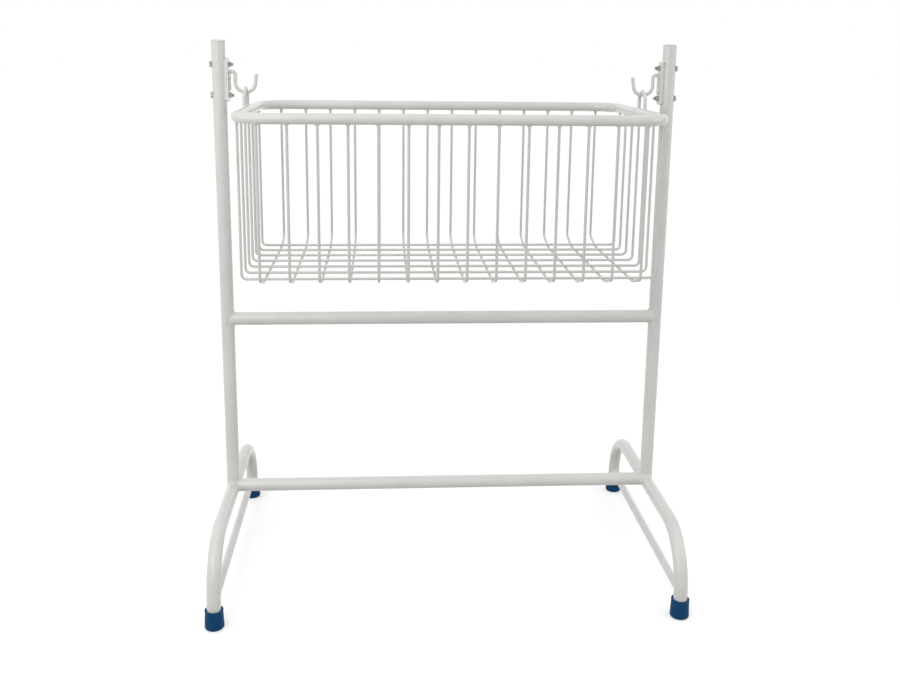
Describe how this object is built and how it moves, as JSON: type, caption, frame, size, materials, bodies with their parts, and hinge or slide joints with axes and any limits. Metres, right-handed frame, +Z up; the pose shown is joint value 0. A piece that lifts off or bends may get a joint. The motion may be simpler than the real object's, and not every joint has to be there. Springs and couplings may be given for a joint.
{
  "type": "hospital bassinet",
  "caption": "Hospital bassinet: a white steel tube stand on rubber ferrules that carries an open wire basket, hung from a hook at each end so that it swings.",
  "frame": {"origin": "on the floor, midway between the four feet", "axes": "+Z up; +X to the right as seen from the front, along the basket and the rails; the front is -Y"},
  "size_m": [0.883, 0.572, 1.0335],
  "materials": {
    "white_enamel": "baked white enamel, semi-gloss, slightly wavy over the tube",
    "blue_rubber": "moulded dark blue rubber, matt with a soft sheen",
    "zinc_plated_steel": "zinc-plated, dull grey",
    "white_plastic": "moulded white plastic"
  },
  "bodies": {
    "stand": {"mid_rail": "white_enamel", "lower_rail": "white_enamel", "upright_left": "white_enamel", "upright_cap_left": "white_plastic", "leg_frame_left": "white_enamel", "leg_brace_left": "white_enamel", "hook_plate_left": "white_enamel", "hook_left": "white_enamel", "hook_bolt_left_upper": "zinc_plated_steel", "hook_nut_left_upper": "zinc_plated_steel", "hook_bolt_left_lower": "zinc_plated_steel", "hook_nut_left_lower": "zinc_plated_steel", "ferrule_front_left": "blue_rubber", "ferrule_rear_left": "blue_rubber", "upright_right": "white_enamel", "upright_cap_right": "white_plastic", "leg_frame_right": "white_enamel", "leg_brace_right": "white_enamel", "hook_plate_right": "white_enamel", "hook_right": "white_enamel", "hook_bolt_right_upper": "zinc_plated_steel", "hook_nut_right_upper": "zinc_plated_steel", "hook_bolt_right_lower": "zinc_plated_steel", "hook_nut_right_lower": "zinc_plated_steel", "ferrule_front_right": "blue_rubber", "ferrule_rear_right": "blue_rubber"},
    "basket": {"basket_rim": "white_enamel", "cross_wire_01": "white_enamel", "cross_wire_02": "white_enamel", "cross_wire_03": "white_enamel", "cross_wire_04": "white_enamel", "cross_wire_05": "white_enamel", "cross_wire_06": "white_enamel", "cross_wire_07": "white_enamel", "cross_wire_08": "white_enamel", "cross_wire_09": "white_enamel", "cross_wire_10": "white_enamel", "cross_wire_11": "white_enamel", "cross_wire_12": "white_enamel", "cross_wire_13": "white_enamel", "cross_wire_14": "white_enamel", "long_wire_01": "white_enamel", "long_wire_02": "white_enamel", "long_wire_03": "white_enamel", "long_wire_04": "white_enamel", "long_wire_05": "white_enamel", "long_wire_06": "white_enamel", "long_wire_07": "white_enamel", "hanger_eye_left": "white_enamel", "hanger_eye_right": "white_enamel"}
  },
  "joints": [
    {"name": "basket_swing", "type": "hinge", "parent": "stand", "child": "basket", "pos_m": [0, 0, 0.938], "axis": [1, 0, 0], "range_deg": [-30, 30]}
  ]
}
